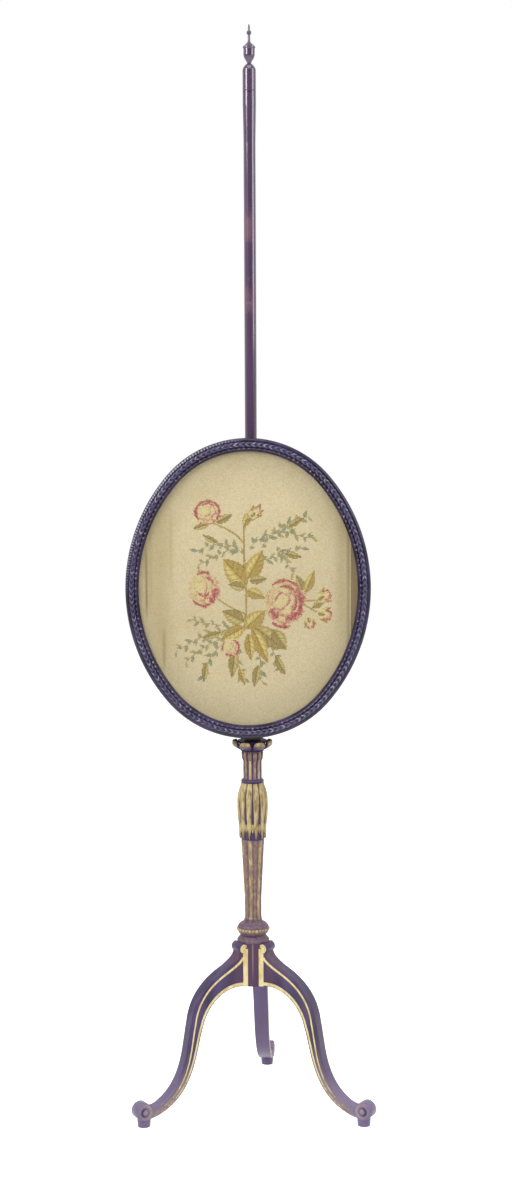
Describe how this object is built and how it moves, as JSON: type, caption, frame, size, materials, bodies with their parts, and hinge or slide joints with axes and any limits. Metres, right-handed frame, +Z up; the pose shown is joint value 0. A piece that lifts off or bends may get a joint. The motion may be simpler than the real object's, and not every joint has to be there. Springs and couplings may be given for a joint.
{
  "type": "pole screen",
  "caption": "Pole screen: tripod stand with a carved part-gilt stem, turned pole with an urn finial, and an oval framed needlework panel that slides and turns on the pole.",
  "frame": {"origin": "point on the floor under the pole's axis", "axes": "+Z up along the pole, -Y the panel's front, +X to the right seen from the front"},
  "size_m": [0.3654, 0.3124, 1.6],
  "materials": {
    "stand_wood": "worn dark polish",
    "gilt_wood": "part gilt",
    "pole_wood": "polished",
    "frame_wood": "gloss",
    "board": "matt",
    "canvas": "stitched wool",
    "brass": "aged"
  },
  "bodies": {
    "stand": {"leg_left": "stand_wood", "leg_right": "stand_wood", "leg_rear": "stand_wood", "foot_left": "stand_wood", "foot_right": "stand_wood", "foot_rear": "stand_wood", "hub": "stand_wood", "base_collar": "stand_wood", "fluted_shaft": "gilt_wood", "leaf_bulb": "gilt_wood", "fluted_neck": "gilt_wood", "capital": "gilt_wood"},
    "pole": {"pole": "pole_wood", "pole_cap": "pole_wood", "finial": "pole_wood"},
    "panel": {"frame_top": "frame_wood", "frame_right": "frame_wood", "frame_bottom": "frame_wood", "frame_left": "frame_wood", "panel_board": "board", "needlework": "canvas", "panel_brads": "brass", "upper_eye": "brass", "lower_eye": "brass", "eye_screws": "brass"},
    "thumbscrew": {"thumbscrew": "brass"}
  },
  "joints": [
    {"name": "pole_turn", "type": "hinge", "parent": "stand", "child": "pole", "pos_m": [0, 0, 0.5565], "axis": [0, 0, 1], "continuous": true},
    {"name": "panel_slide", "type": "slide", "parent": "pole", "child": "panel", "axis": [0, 0, 1], "range_m": [0, 0.42]},
    {"name": "thumbscrew_turn", "type": "hinge", "parent": "panel", "child": "thumbscrew", "pos_m": [0, 0.02, 0.9965], "axis": [0, 1, 0], "continuous": true}
  ]
}
